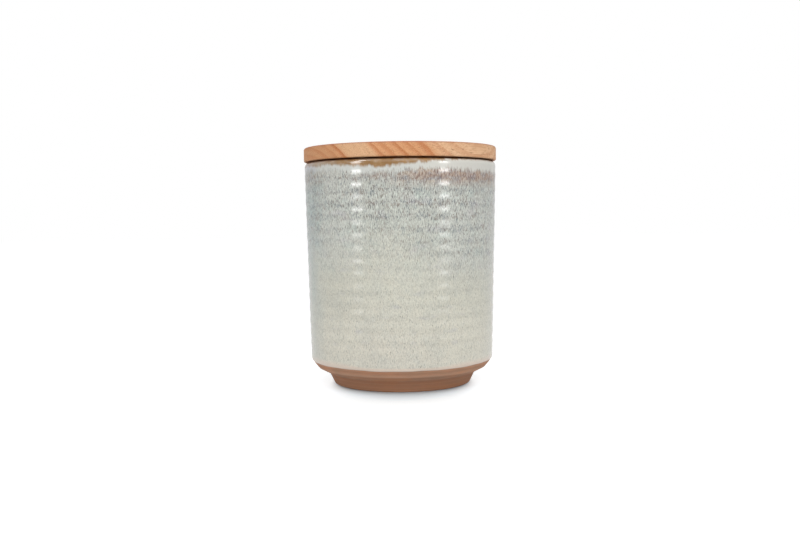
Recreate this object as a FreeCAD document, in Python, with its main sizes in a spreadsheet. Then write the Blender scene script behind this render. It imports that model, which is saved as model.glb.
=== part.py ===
"""A lidded sugar bowl: a ribbed stoneware pot, glazed inside and out, and a turned wooden lid.

Frame: millimetres, +Z up. The origin is the centre of the foot ring, on the table.
Every piece is round about Z. Outlines are drawn on the XZ plane, as (radius, height).

Pieces, each in a node of its own:
  stoneware_body        fired clay pot with a foot ring, a ribbed wall and a rounded rim
  reactive_glaze_coat   coat of glaze outside, over the rim and down its inner rounding
  liner_glaze_coat      coat of glaze inside
  wooden_lid            disc with a plug below it, turned from one board
  silicone_seal         ring with two lips, stretched into the plug's groove
"""

import FreeCAD, Part
import os
import Sketcher

doc = FreeCAD.newDocument("sugar_bowl")

# ---------------------------------------------------------------------------------------------
# Driving sizes
# ---------------------------------------------------------------------------------------------
SIZES = (
    # the pot, over its glaze
    ("bowl_height", 103.2, "table to the top of the rim"),
    ("rim_diameter", 89.4, "outside, at the rim"),
    ("base_diameter", 85.5, "outside, where the wall would meet the underside in an edge"),
    ("shoulder_rounding", 5.6, "radius of the clay on that edge"),
    ("wall_thickness", 4.2, "clay only"),
    ("rim_rounding", 1.8, "radius of the clay on both edges of the rim"),
    ("rib_count", 15, "throwing ribs up the wall"),
    ("rib_depth", 0.18, "crest to valley"),
    ("rib_gap_below", 6.3, "from the shoulder's edge to the first rib"),
    ("rib_gap_above", 2.85, "from the last rib to the top of the rim"),
    # the underside and the foot ring, bare clay: a stack of turned steps, from the table up
    ("foot_height", 5.15, "the foot ring"),
    ("crease_rise", 2.6, "the inner cone, from the foot ring up to the crease"),
    ("shoulder_rise", 3.35, "the outer cone, from the crease up to the shoulder's edge"),
    ("crease_inset", 2.75, "from the clay's shoulder edge in to the crease"),
    ("foot_inset", 5.1, "from the crease in to the foot ring"),
    ("foot_lean", 2.5, "how far the ring's outer face leans in on its way down"),
    ("foot_ring_width", 5.0, "width of the ring on the table"),
    ("foot_rounding", 0.7, "radius on both edges of the ring's sole"),
    ("recess_depth", 2.4, "hollow inside the foot ring"),
    ("recess_lean", 1.2, "how far the ring's inner face leans in on its way up"),
    ("floor_thickness", 5.2, "clay only"),
    ("floor_corner_radius", 10.0, "clay, between the floor and the wall"),
    # the two glaze coats
    ("coat_thickness", 0.4, "reactive glaze, outside and on the rim"),
    ("liner_thickness", 0.35, "liner glaze, inside"),
    ("glaze_line_drop", 0.1, "from the shoulder's edge down to the edge of the reactive glaze"),
    ("coat_turn_in", 2.6, "how far the reactive glaze goes down inside the mouth"),
    # the lid
    ("lid_diameter", 90.0, "disc"),
    ("lid_thickness", 6.5, "disc, without its plug"),
    ("lid_seat_gap", 0.3, "between the rim and the disc"),
    ("lid_top_rounding", 0.9, "radius on the disc's upper edge"),
    ("lid_bottom_rounding", 0.5, "radius on the disc's lower edge"),
    ("plug_depth", 9.0, "plug below the disc"),
    ("plug_gap", 1.8, "between the plug's lower edge and the wall of the mouth"),
    ("plug_chamfer", 0.8, "on the plug's lower edge"),
    # the seal and the groove that holds it
    ("groove_drop", 2.2, "disc to the top of the groove"),
    ("groove_depth", 1.5, "into the plug"),
    ("band_height", 4.6, "seal, where it lies in the groove"),
    ("band_thickness", 1.7, "seal, without its lips"),
    ("seal_groove_gap", 0.06, "running clearance of the seal in its groove"),
    ("lip_root", 1.0, "thickness of a lip where it leaves the band"),
    ("lip_tip", 0.6, "thickness of a lip at its edge"),
    ("lip_rise", 0.5, "how far a lip turns up on its way out"),
    ("lip_spacing", 2.6, "from one lip to the next"),
    ("lip_wall_gap", 0.08, "between a lip and the wall of the mouth"),
)

sheet = doc.addObject("Spreadsheet::Sheet", "Sizes")
for row, (alias, value, meaning) in enumerate(SIZES, start=1):
    sheet.set(f"A{row}", alias)
    sheet.set(f"B{row}", str(value))
    sheet.set(f"C{row}", meaning)
    sheet.setAlias(f"B{row}", alias)
doc.recompute()


def size(alias):
    """The expression that reads one cell of the sheet."""
    return f"Sizes.{alias}"


def number(expression):
    """The value of an expression, in millimetres."""
    return float(sheet.evalExpression(expression))


# ---------------------------------------------------------------------------------------------
# Surfaces that several pieces share, as expressions of the sheet
# ---------------------------------------------------------------------------------------------
CREASE_HEIGHT = f"({size('foot_height')} + {size('crease_rise')})"
SHOULDER_HEIGHT = f"({CREASE_HEIGHT} + {size('shoulder_rise')})"
GLAZE_LINE = f"({SHOULDER_HEIGHT} - {size('glaze_line_drop')})"
CREASE_RADIUS = f"({size('base_diameter')} / 2 - {size('coat_thickness')} - {size('crease_inset')})"
FOOT_TOP_RADIUS = f"({CREASE_RADIUS} - {size('foot_inset')})"

WALL_LEAN = (
    f"(({size('rim_diameter')} - {size('base_diameter')}) / 2"
    f" / ({size('bowl_height')} - {SHOULDER_HEIGHT}))"
)
UNDERSIDE_SLOPE = f"atan2({size('shoulder_rise')}; {size('crease_inset')})"
COAT_DROP = f"({size('coat_thickness')} * (1 - sin({UNDERSIDE_SLOPE})) / cos({UNDERSIDE_SLOPE}))"
# the shoulder's rounding stops short of the crease below it and of the first rib above it
CONE_BELOW = f"({size('shoulder_rise')} / sin({UNDERSIDE_SLOPE}))"
WALL_ABOVE = f"({size('rib_gap_below')} / cos(atan({WALL_LEAN})))"
SHOULDER_TURN = f"(90 deg - atan({WALL_LEAN}) - {UNDERSIDE_SLOPE})"
WIDEST_SHOULDER = f"(0.95 * min({CONE_BELOW}; {WALL_ABOVE}) / tan({SHOULDER_TURN} / 2))"
SHOULDER_ROUNDING = f"min({size('shoulder_rounding')}; {WIDEST_SHOULDER})"

# the other roundings stop short of the far side of what they are on
RIM_ROUNDING = f"min({size('rim_rounding')}; 0.45 * {size('wall_thickness')})"
SOLE_ROOM = f"min({size('foot_ring_width')}; {size('recess_depth')})"
SOLE_ROUNDING = f"min({size('foot_rounding')}; 0.45 * {SOLE_ROOM})"

RIB_BOTTOM = f"({SHOULDER_HEIGHT} + {size('rib_gap_below')})"
RIB_TOP = f"({size('bowl_height')} - {size('rib_gap_above')})"
HALF_RIB = f"(({RIB_TOP} - {RIB_BOTTOM}) / {size('rib_count')} / 2)"

CLAY_TOP = f"({size('bowl_height')} - {size('coat_thickness')})"
CLAY_FLOOR = f"({size('recess_depth')} + {size('floor_thickness')})"
LINER_FLOOR = f"({CLAY_FLOOR} + {size('liner_thickness')})"
WALL_FOOT = f"({CLAY_FLOOR} + {size('floor_thickness')})"
COAT_END = f"({size('bowl_height')} - {size('coat_turn_in')})"

LID_UNDERSIDE = f"({size('bowl_height')} + {size('lid_seat_gap')})"
PLUG_BOTTOM = f"({LID_UNDERSIDE} - {size('plug_depth')})"


def coat_radius(height):
    """Outside of the reactive glaze on the wall, at a height."""
    return f"({size('base_diameter')} / 2 + {WALL_LEAN} * (({height}) - {SHOULDER_HEIGHT}))"


def clay_radius(height):
    """Outside of the clay wall, at a height."""
    return f"({coat_radius(height)} - {size('coat_thickness')})"


def inner_clay_radius(height):
    """Inside of the clay wall, at a height."""
    return f"({clay_radius(height)} - {size('wall_thickness')})"


def liner_radius(height):
    """Inside of the liner glaze on the wall, at a height."""
    return f"({inner_clay_radius(height)} - {size('liner_thickness')})"


def mouth_radius(height):
    """Free radius in the mouth, over whichever coat is thicker, at a height."""
    thicker = f"max({size('coat_thickness')}; {size('liner_thickness')})"
    return f"({inner_clay_radius(height)} - {thicker})"


def core_radius(height):
    """The middle of the clay wall, where the envelopes of both coats end."""
    return f"({clay_radius(height)} - {size('wall_thickness')} / 2)"


PLUG_RADIUS = f"({mouth_radius(PLUG_BOTTOM)} - {size('plug_gap')})"
GROOVE_RADIUS = f"({PLUG_RADIUS} - {size('groove_depth')})"
GROOVE_TOP = f"({LID_UNDERSIDE} - {size('groove_drop')})"
GROOVE_HEIGHT = f"({size('band_height')} + 2 * {size('seal_groove_gap')})"
# the plug's lower edge is broken on the land that is left below the groove
LAND_BELOW = f"({size('plug_depth')} - {size('groove_drop')} - {GROOVE_HEIGHT})"
PLUG_CHAMFER = f"min({size('plug_chamfer')}; 0.6 * {LAND_BELOW})"


# ---------------------------------------------------------------------------------------------
# Drawing helpers
# ---------------------------------------------------------------------------------------------
def new_body(label):
    """An empty PartDesign body."""
    body = doc.addObject("PartDesign::Body", label)
    body.Label = label
    return body


def plane_of(body, role):
    """One of the body's own origin planes."""
    return next(item for item in body.Origin.OriginFeatures if item.Role == role)


def new_sketch(body, name, role="XZ_Plane"):
    """An empty sketch on one of the body's origin planes."""
    sketch = body.newObject("Sketcher::SketchObject", name)
    sketch.AttachmentSupport = (plane_of(body, role), [""])
    sketch.MapMode = "FlatFace"
    return sketch


def arc_between(start, end, bulge):
    """The arc from start to end whose middle stands off the chord by bulge.

    A positive bulge is to the right of the way from start to end. Returns the arc and
    whether it runs from start to end; an arc always turns anticlockwise about its centre.
    """
    chord = end - start
    middle = (start + end) * 0.5
    right = FreeCAD.Vector(chord.y, -chord.x, 0).normalize()
    arc = Part.Arc(start, middle + right * bulge, end)
    return arc, bulge > 0


def draw_outline(sketch, corners):
    """Draws a closed outline and ties every corner to the sheet.

    A corner is (radius, height) or (radius, height, bulge), all expressions. The bulge is that
    of the arc that leads on to the next corner, and a corner without one starts a straight line.
    """
    points = [FreeCAD.Vector(number(c[0]), number(c[1]), 0) for c in corners]
    ends = []
    held = []
    for index, corner in enumerate(corners):
        start = points[index]
        end = points[(index + 1) % len(points)]
        if len(corner) == 2:
            edge = sketch.addGeometry(Part.LineSegment(start, end), False)
            ends.append((edge, 1, 2))
            continue
        arc, forwards = arc_between(start, end, number(corner[2]))
        edge = sketch.addGeometry(arc, False)
        ends.append((edge, 1, 2) if forwards else (edge, 2, 1))
        radius = arc_radius(corners, index)
        held.append((Sketcher.Constraint("Radius", edge, number(radius)), radius))
    for index, (radius, height) in enumerate(corner[:2] for corner in corners):
        edge, first, _ = ends[index]
        before, _, last = ends[index - 1]
        held.append((Sketcher.Constraint("Coincident", before, last, edge, first), None))
        held.append(hold_point("DistanceX", edge, first, radius))
        held.append(hold_point("DistanceY", edge, first, height))
    bind(sketch, held)


def arc_radius(corners, index):
    """The expression for the radius of the arc that leaves a corner."""
    radius, height, bulge = corners[index]
    next_radius, next_height = corners[(index + 1) % len(corners)][:2]
    chord = f"((({next_radius}) - ({radius}))^2 + (({next_height}) - ({height}))^2)"
    return f"(({chord} / 4 + ({bulge})^2) / (2 * abs({bulge})))"


def hold_point(kind, edge, end, expression):
    """Holds one point of a sketch at a distance; "0" holds it on the axis or the table."""
    if expression == "0":
        line = -2 if kind == "DistanceX" else -1
        return Sketcher.Constraint("PointOnObject", edge, end, line), None
    return Sketcher.Constraint(kind, -1, 1, edge, end, number(expression)), expression


def bind(sketch, held):
    """Adds pairs of a constraint and the expression its value follows, if it has one."""
    first = sketch.ConstraintCount
    sketch.addConstraint([constraint for constraint, _ in held])
    for index, (_, expression) in enumerate(held, start=first):
        if expression is not None:
            sketch.setExpression(f"Constraints[{index}]", expression)


def revolve(body, sketch, name, kind="PartDesign::Revolution"):
    """Turns a sketch once round the axis, as a Revolution or a Groove."""
    feature = body.newObject(kind, name)
    feature.Profile = sketch
    feature.ReferenceAxis = (sketch, ["V_Axis"])
    feature.Angle = 360
    sketch.Visibility = False
    doc.recompute()
    return feature


def groove(body, name, corners):
    """Turns an outline out of a body, and makes sure that it took something away."""
    outline = new_sketch(body, f"{name}_outline")
    draw_outline(outline, corners)
    before = body.Shape.Volume
    feature = revolve(body, outline, name, "PartDesign::Groove")
    if body.Shape.Volume >= before:
        raise ValueError(f"{name} took nothing away")
    return feature


def round_edges(body, name, rounding, *rings):
    """Fillets the circular edges at the given (radius, height) expressions."""
    base = body.Tip
    feature = body.newObject("PartDesign::Fillet", name)
    feature.Base = (base, [ring_edge(base.Shape, *ring) for ring in rings])
    feature.setExpression("Radius", rounding)
    doc.recompute()
    return feature


def ring_edge(shape, radius, height):
    """The name of the full circle of a shape that lies at a radius and a height."""
    near = 1e-4
    wanted = FreeCAD.Vector(number(radius), 0, number(height))
    for index, edge in enumerate(shape.Edges, start=1):
        curve = edge.Curve
        if not isinstance(curve, Part.Circle):
            continue
        if wanted.distanceToPoint(FreeCAD.Vector(curve.Radius, 0, curve.Center.z)) < near:
            return f"Edge{index}"
    raise ValueError(f"no circle of radius {wanted.x:.3f} at height {wanted.z:.3f}")


def cut(label, envelope, tool):
    """What is left of an envelope once another piece is taken out of it."""
    feature = doc.addObject("Part::Cut", label)
    feature.Label = label
    feature.Base = envelope
    feature.Tool = tool
    doc.recompute()
    return feature


def ribbed_wall(surface_radius):
    """Corners up the wall: a crest and a valley for each rib, as arcs that meet in line."""
    bulge = f"({size('rib_depth')} / 2)"
    corners = []
    for step in range(2 * round(number(size("rib_count")))):
        height = f"({RIB_BOTTOM} + {step} * {HALF_RIB})"
        side = "" if step % 2 == 0 else "-"
        corners.append((surface_radius(height), height, f"{side}{bulge}"))
    corners.append((surface_radius(RIB_TOP), RIB_TOP))
    return corners


def floor_corner(wall_radius, floor, rounding):
    """Corners on the way down an inner wall and on to the floor, with an arc between them."""
    lean = f"atan({WALL_LEAN})"
    half_turn = f"((90 deg - {lean}) / 2)"
    reach = f"({rounding} * tan({half_turn}))"
    start = (
        f"({wall_radius(floor)} + {reach} * sin({lean}))",
        f"({floor} + {reach} * cos({lean}))",
        f"-({rounding} * (1 - cos({half_turn})))",
    )
    return [start, (f"({wall_radius(floor)} - {reach})", floor)]


# ---------------------------------------------------------------------------------------------
# Pieces of the pot
# ---------------------------------------------------------------------------------------------
def make_stoneware_body():
    """The clay: floor, foot ring, two turned cones, ribbed wall and rounded rim."""
    body = new_body("stoneware_body")
    foot_radius = f"({FOOT_TOP_RADIUS} - {size('foot_lean')})"
    sole_inside = f"({foot_radius} - {size('foot_ring_width')})"
    recess_radius = f"({sole_inside} - {size('recess_lean')})"
    shoulder = (clay_radius(SHOULDER_HEIGHT), SHOULDER_HEIGHT)
    rim_outside = (clay_radius(CLAY_TOP), CLAY_TOP)
    rim_inside = (inner_clay_radius(CLAY_TOP), CLAY_TOP)
    corners = [
        ("0", size("recess_depth")),
        (recess_radius, size("recess_depth")),
        (sole_inside, "0"),
        (foot_radius, "0"),
        (FOOT_TOP_RADIUS, size("foot_height")),
        (CREASE_RADIUS, CREASE_HEIGHT),
        shoulder,
        *ribbed_wall(clay_radius),
        rim_outside,
        rim_inside,
        *floor_corner(inner_clay_radius, CLAY_FLOOR, size("floor_corner_radius")),
        ("0", CLAY_FLOOR),
    ]
    outline = new_sketch(body, "clay_outline")
    draw_outline(outline, corners)
    revolve(body, outline, "clay_turned")
    round_edges(body, "shoulder_round", SHOULDER_ROUNDING, shoulder)
    round_edges(body, "rim_round", RIM_ROUNDING, rim_outside, rim_inside)
    round_edges(body, "sole_round", SOLE_ROUNDING, (sole_inside, "0"), (foot_radius, "0"))
    return body


def make_reactive_glaze_coat(clay):
    """The outer coat: an envelope from mid-wall out, less the clay and all below the glaze line."""
    body = new_body("reactive_glaze_envelope")
    shoulder_height = f"({SHOULDER_HEIGHT} - {COAT_DROP})"
    underside_run = f"({coat_radius(shoulder_height)} - {CREASE_RADIUS})"
    underside_height = f"({shoulder_height} - {underside_run} * tan({UNDERSIDE_SLOPE}))"
    shoulder = (coat_radius(shoulder_height), shoulder_height)
    rim_outside = (coat_radius(size("bowl_height")), size("bowl_height"))
    mouth_top = f"({inner_clay_radius(size('bowl_height'))} - {size('coat_thickness')})"
    rim_inside = (mouth_top, size("bowl_height"))
    turn_in_end = f"({inner_clay_radius(COAT_END)} - {size('coat_thickness')})"
    corners = [
        (CREASE_RADIUS, underside_height),
        shoulder,
        *ribbed_wall(coat_radius),
        rim_outside,
        rim_inside,
        (turn_in_end, COAT_END),
        (core_radius(COAT_END), COAT_END),
        (core_radius(WALL_FOOT), WALL_FOOT),
    ]
    outline = new_sketch(body, "coat_outline")
    draw_outline(outline, corners)
    revolve(body, outline, "coat_turned")
    coat = size("coat_thickness")
    round_edges(body, "coat_shoulder_round", f"{SHOULDER_ROUNDING} + {coat}", shoulder)
    round_edges(body, "coat_rim_round", f"{RIM_ROUNDING} + {coat}", rim_outside, rim_inside)
    below_line = [
        ("0", "0"),
        (size("rim_diameter"), "0"),
        (size("rim_diameter"), GLAZE_LINE),
        ("0", GLAZE_LINE),
    ]
    groove(body, "below_glaze_line", below_line)
    return cut("reactive_glaze_coat", body, clay)


def make_liner_glaze_coat(clay):
    """The inner coat: an envelope from mid-wall in, with the clay taken out of it."""
    body = new_body("liner_glaze_envelope")
    liner_rounding = f"({size('floor_corner_radius')} - {size('liner_thickness')})"
    mid_floor = f"({CLAY_FLOOR} - {size('floor_thickness')} / 2)"
    mid_sole = f"({FOOT_TOP_RADIUS} - {size('foot_lean')} - {size('foot_ring_width')} / 2)"
    corners = [
        ("0", mid_floor),
        (mid_sole, mid_floor),
        (core_radius(WALL_FOOT), WALL_FOOT),
        (core_radius(COAT_END), COAT_END),
        (liner_radius(COAT_END), COAT_END),
        *floor_corner(liner_radius, LINER_FLOOR, liner_rounding),
        ("0", LINER_FLOOR),
    ]
    outline = new_sketch(body, "liner_outline")
    draw_outline(outline, corners)
    revolve(body, outline, "liner_turned")
    return cut("liner_glaze_coat", body, clay)


# ---------------------------------------------------------------------------------------------
# Pieces of the lid
# ---------------------------------------------------------------------------------------------
def pad_disc(body, name, radius, base_height, thickness, downwards=False):
    """A round pad, from a height up or down."""
    sketch = new_sketch(body, f"{name}_circle", "XY_Plane")
    sketch.setExpression("AttachmentOffset.Base.z", base_height)
    circle = Part.Circle(FreeCAD.Vector(0, 0, 0), FreeCAD.Vector(0, 0, 1), number(radius))
    edge = sketch.addGeometry(circle, False)
    centred = Sketcher.Constraint("Coincident", edge, 3, -1, 1)
    bind(sketch, [(centred, None), (Sketcher.Constraint("Radius", edge, number(radius)), radius)])
    pad = body.newObject("PartDesign::Pad", name)
    pad.Profile = sketch
    pad.setExpression("Length", thickness)
    pad.Reversed = downwards
    sketch.Visibility = False
    doc.recompute()
    return pad


def make_wooden_lid():
    """Disc and plug turned from one board, with a groove round the plug for the seal."""
    body = new_body("wooden_lid")
    lid_radius = f"({size('lid_diameter')} / 2)"
    lid_top = f"({LID_UNDERSIDE} + {size('lid_thickness')})"
    pad_disc(body, "disc", lid_radius, LID_UNDERSIDE, size("lid_thickness"))
    pad_disc(body, "plug", PLUG_RADIUS, LID_UNDERSIDE, size("plug_depth"), downwards=True)
    groove_bottom = f"({GROOVE_TOP} - {GROOVE_HEIGHT})"
    beyond = f"({PLUG_RADIUS} + {size('plug_gap')} / 2)"
    around_plug = [
        (GROOVE_RADIUS, groove_bottom),
        (beyond, groove_bottom),
        (beyond, GROOVE_TOP),
        (GROOVE_RADIUS, GROOVE_TOP),
    ]
    groove(body, "seal_groove", around_plug)
    round_edges(body, "top_edge_round", size("lid_top_rounding"), (lid_radius, lid_top))
    round_edges(body, "bottom_edge_round", size("lid_bottom_rounding"), (lid_radius, LID_UNDERSIDE))
    chamfer = body.newObject("PartDesign::Chamfer", "plug_edge")
    base = chamfer.BaseFeature
    chamfer.Base = (base, [ring_edge(base.Shape, PLUG_RADIUS, PLUG_BOTTOM)])
    chamfer.setExpression("Size", PLUG_CHAMFER)
    doc.recompute()
    return body


def make_silicone_seal():
    """Band in the plug's groove, with two lips that turn up towards the wall of the mouth."""
    body = new_body("silicone_seal")
    inside = f"({GROOVE_RADIUS} + {size('seal_groove_gap')})"
    outside = f"({inside} + {size('band_thickness')})"
    top = f"({GROOVE_TOP} - {size('seal_groove_gap')})"
    bottom = f"({top} - {size('band_height')})"
    middle = f"({top} - {size('band_height')} / 2)"
    corners = [(inside, bottom), (outside, bottom)]
    for lip_middle in (
        f"({middle} - {size('lip_spacing')} / 2)",
        f"({middle} + {size('lip_spacing')} / 2)",
    ):
        tip_middle = f"({lip_middle} + {size('lip_rise')})"
        tip_low = f"({tip_middle} - {size('lip_tip')} / 2)"
        tip_high = f"({tip_middle} + {size('lip_tip')} / 2)"
        reach = f"({mouth_radius(tip_low)} - {size('lip_wall_gap')} - {size('lip_tip')} / 4)"
        corners += [
            (outside, f"({lip_middle} - {size('lip_root')} / 2)"),
            (reach, tip_low, f"({size('lip_tip')} / 4)"),
            (reach, tip_high),
            (outside, f"({lip_middle} + {size('lip_root')} / 2)"),
        ]
    corners += [(outside, top), (inside, top)]
    outline = new_sketch(body, "seal_outline")
    draw_outline(outline, corners)
    revolve(body, outline, "seal_turned")
    return body


# ---------------------------------------------------------------------------------------------
# Build, check and write
# ---------------------------------------------------------------------------------------------
def check_document():
    """Stops if any object of the document has failed."""
    for item in doc.Objects:
        if "Invalid" in item.State or "Error" in item.State:
            raise RuntimeError(f"{item.Name} failed: {item.State}")


def write_parts(pieces):
    """Writes one STEP file for each piece, named after its label."""
    os.makedirs("parts", exist_ok=True)
    for piece in pieces:
        shape = piece.Shape
        if shape.isNull() or not shape.isValid():
            raise RuntimeError(f"{piece.Label} has no valid shape")
        shape.exportStep(f"parts/{piece.Label}.step")
        box = shape.BoundBox
        print(
            f"{piece.Label}: {len(shape.Solids)} solid, {shape.Volume / 1000:.2f} ml,"
            f" r {box.XMax:.2f}, z {box.ZMin:.2f} to {box.ZMax:.2f}"
        )


stoneware_body = make_stoneware_body()
pieces = [
    stoneware_body,
    make_reactive_glaze_coat(stoneware_body),
    make_liner_glaze_coat(stoneware_body),
    make_wooden_lid(),
    make_silicone_seal(),
]
doc.recompute()
check_document()
write_parts(pieces)
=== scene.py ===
# %% [markdown]
# # A lidded sugar bowl
#
# The bowl is a stoneware pot with shallow throwing ribs. It is dipped in a reactive glaze that
# runs while it melts, and its foot stays bare. A wooden lid with a silicone seal closes it. Every
# piece is round, so each is an outline turned about the upright axis, as the potter and the wood
# turner did it. The finishes carry the rest of the character.

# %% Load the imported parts
import math

import bpy
import numpy as np
from mathutils import Matrix, Vector
from mathutils.bvhtree import BVHTree


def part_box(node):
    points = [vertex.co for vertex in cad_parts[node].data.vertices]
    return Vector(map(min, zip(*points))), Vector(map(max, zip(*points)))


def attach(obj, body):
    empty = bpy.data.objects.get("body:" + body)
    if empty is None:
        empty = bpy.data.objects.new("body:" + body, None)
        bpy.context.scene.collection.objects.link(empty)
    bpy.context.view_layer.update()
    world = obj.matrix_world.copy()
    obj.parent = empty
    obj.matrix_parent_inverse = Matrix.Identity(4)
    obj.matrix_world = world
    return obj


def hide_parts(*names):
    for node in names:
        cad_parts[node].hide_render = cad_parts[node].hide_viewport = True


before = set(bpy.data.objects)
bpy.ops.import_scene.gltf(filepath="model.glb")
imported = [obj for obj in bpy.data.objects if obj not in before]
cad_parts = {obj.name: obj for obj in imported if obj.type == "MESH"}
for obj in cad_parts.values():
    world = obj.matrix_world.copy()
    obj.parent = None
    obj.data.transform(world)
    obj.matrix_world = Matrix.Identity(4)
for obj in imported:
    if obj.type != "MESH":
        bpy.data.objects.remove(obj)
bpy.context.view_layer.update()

# %% [markdown]
# ## Sizes
#
# A maker works from a short list of sizes. Heights and widths of the pieces come from the packed
# parts, so that nothing drifts away from them. What a box can't tell, such as the wall's
# thickness or the radius of a rounding, is written down here. All of it is in millimetres.

# %% Read the sizes of the pieces
def span(node):
    """Widest radius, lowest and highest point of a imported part, in millimetres."""
    low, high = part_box(node)
    return high.x * 1000, low.z * 1000, high.z * 1000


_, _, CLAY_TOP = span("stoneware_body")
_, GLAZE_LINE, BOWL_TOP = span("reactive_glaze_coat")
_, CLAY_FLOOR, COAT_END = span("liner_glaze_coat")
LID_RADIUS, PLUG_BOTTOM, LID_TOP = span("wooden_lid")
LIP_REACH, SEAL_BOTTOM, SEAL_TOP = span("silicone_seal")
print("bowl", BOWL_TOP, "glaze line", GLAZE_LINE, "inner floor", CLAY_FLOOR, "lid top", LID_TOP)

# %% [markdown]
# The wall leans out by two millimetres from the shoulder to the rim. The turned corners of the
# foot are pairs of a radius and a height. AROUND is the number of steps in one turn.

# %% Sizes that a box doesn't tell
COAT = 0.4
LINER = 0.35
WALL = 4.2
SHOULDER_HEIGHT = 11.1
GLAZED_SHOULDER = 42.75
GLAZED_RIM = 44.7
SHOULDER_RADIUS = GLAZED_SHOULDER - COAT
WALL_LEAN = (GLAZED_RIM - GLAZED_SHOULDER) / (BOWL_TOP - SHOULDER_HEIGHT)
SHOULDER_ROUNDING = 5.6
RIM_ROUNDING = 1.8
INNER_CORNER = 10.0
RIB_BOTTOM = 17.4
RIB_TOP = 100.35
RIB_COUNT = 15
RIB_PITCH = (RIB_TOP - RIB_BOTTOM) / RIB_COUNT
RIB_DEPTH = 0.18
CREASE = (39.6, 7.75)
FOOT_TOP = (34.5, 5.15)
SOLE_OUTSIDE = 32.0
SOLE_INSIDE = 27.0
RECESS = (25.8, 2.4)
BOARD_THICKNESS = 6.5
LID_UNDERSIDE = LID_TOP - BOARD_THICKNESS
PLUG_RADIUS = 37.71
GROOVE_RADIUS = 36.21
AROUND = 224
print("rib pitch", round(RIB_PITCH, 3), "wall lean", round(WALL_LEAN, 4))

# %% [markdown]
# ## Turning an outline into a mesh
#
# A turned piece is an outline carried round an axis. Blender's Screw modifier can do that, but a
# pot from a wheel is never quite even: its ribs drift and its wall wavers by a hair. So the mesh
# is made from two tables, one of radii and one of heights, with a row for each point of the
# outline and a column for each step of the turn. Where a row lies on the axis it becomes one
# point. The last row joins the first, which keeps every piece closed.

# %% Turn rows of points about the axis
ANGLES = np.arange(AROUND) * (2 * math.pi / AROUND)


def new_object(name, data):
    """A new object in the scene."""
    piece = bpy.data.objects.new(name, data)
    bpy.context.scene.collection.objects.link(piece)
    return piece


def new_mesh(name, points, faces):
    """A new mesh in the scene, from points in metres and faces."""
    mesh = bpy.data.meshes.new(name)
    mesh.from_pydata(points, [], faces)
    print(name, len(points), "points", len(faces), "faces")
    return new_object(name, mesh)


def turned(name, radius, height):
    """A closed mesh from tables of radii and heights, in millimetres, as a new object."""
    points = []
    ring_of = []
    for row_radius, row_height in zip(radius, height):
        first = len(points)
        if row_radius.max() < 1e-6:
            points.append((0.0, 0.0, float(row_height[0]) / 1000))
            ring_of.append([first] * AROUND)
            continue
        x = row_radius * np.cos(ANGLES) / 1000
        y = row_radius * np.sin(ANGLES) / 1000
        points.extend(zip(x.tolist(), y.tolist(), (row_height / 1000).tolist()))
        ring_of.append(list(range(first, first + AROUND)))
    faces = []
    for row, ring in enumerate(ring_of):
        above = ring_of[(row + 1) % len(ring_of)]
        for step in range(AROUND):
            after = (step + 1) % AROUND
            corners = (ring[step], ring[after], above[after], above[step])
            face = tuple(dict.fromkeys(corners))
            if len(face) > 2:
                faces.append(face)
    piece = new_mesh(name, points, faces)
    piece.data.shade_smooth()
    return piece


def even(outline):
    """The same outline all the way round: the two tables that turned() takes."""
    outline = np.array(outline)
    return [np.repeat(outline[:, i : i + 1], AROUND, axis=1) for i in (0, 1)]


# %% [markdown]
# Sharp corners look like a computer's, not a maker's. Each corner of an outline is given as a
# point and a rounding, and this helper puts an arc there. It adds a point on the straight just
# before and after each arc, so that the flats beside it keep their flat shading.

# %% Round the corners of an outline
FLAT_MARGIN = 1.25


def rounded(corners, steps=6):
    """Points along a closed outline whose corners (radius, height, rounding) become arcs."""
    outline = []
    for index, (x, z, rounding) in enumerate(corners):
        here = np.array([x, z])
        back = np.array(corners[index - 1][:2]) - here
        ahead = np.array(corners[(index + 1) % len(corners)][:2]) - here
        if rounding <= 0:
            outline.append(here)
            continue
        back /= np.linalg.norm(back)
        ahead /= np.linalg.norm(ahead)
        half = math.acos(float(np.clip(back @ ahead, -1, 1))) / 2
        reach = rounding / math.tan(half)
        middle = here + (back + ahead) / np.linalg.norm(back + ahead) * rounding / math.sin(half)
        start = here + back * reach - middle
        end = here + ahead * reach - middle
        turn = math.atan2(start[0] * end[1] - start[1] * end[0], start @ end)
        outline.append(here + back * reach * FLAT_MARGIN)
        for step in range(steps + 1):
            angle = turn * step / steps
            c, s = math.cos(angle), math.sin(angle)
            spoke = (start[0] * c - start[1] * s, start[0] * s + start[1] * c)
            outline.append(middle + np.array(spoke))
        outline.append(here + ahead * reach * FLAT_MARGIN)
    return outline


# %% [markdown]
# ## How even is the pot?
#
# The fingers leave fifteen shallow grooves up the wall, about a fifth of a millimetre deep. On
# the real pot each one is a little deeper or higher on one side than on the other, and the wall
# itself wavers by a few hundredths of a millimetre. Highlights show this at once, so the shape
# has it too. `rib` and `waver` give both at any height and angle. FINGER_PRESS says how deep
# each groove is, from the lowest up, as a share of the usual depth.

# %% Shape the clay's wall
FINGER_PRESS = [0.80, 0.85, 0.90, 0.90, 0.95, 0.90, 0.86, 0.85, 0.78, 0.88]
FINGER_PRESS += [0.72, 1.14, 0.82, 0.96, 1.10]


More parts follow.
